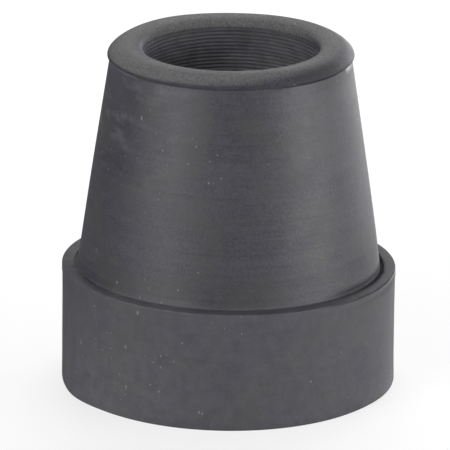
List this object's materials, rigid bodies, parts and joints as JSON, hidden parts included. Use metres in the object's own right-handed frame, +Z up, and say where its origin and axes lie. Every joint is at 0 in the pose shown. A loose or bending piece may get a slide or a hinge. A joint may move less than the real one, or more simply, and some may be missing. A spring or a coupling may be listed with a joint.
{
  "type": "rubber cane tip",
  "caption": "Moulded rubber tip for a cane: tapered sleeve with a rolled collar on a wide skirt, a ringed blind bore for the shaft and a ring tread underneath.",
  "frame": {"origin": "centre of the underside, where the axis of the bore meets the floor", "axes": "+Z up along the axis of the bore, towards its mouth"},
  "size_m": [0.0364, 0.0364, 0.038],
  "materials": {
    "rubber": "matte moulded rubber, slightly dusty"
  },
  "bodies": {
    "root": {"cane_tip": "rubber"}
  },
  "joints": []
}
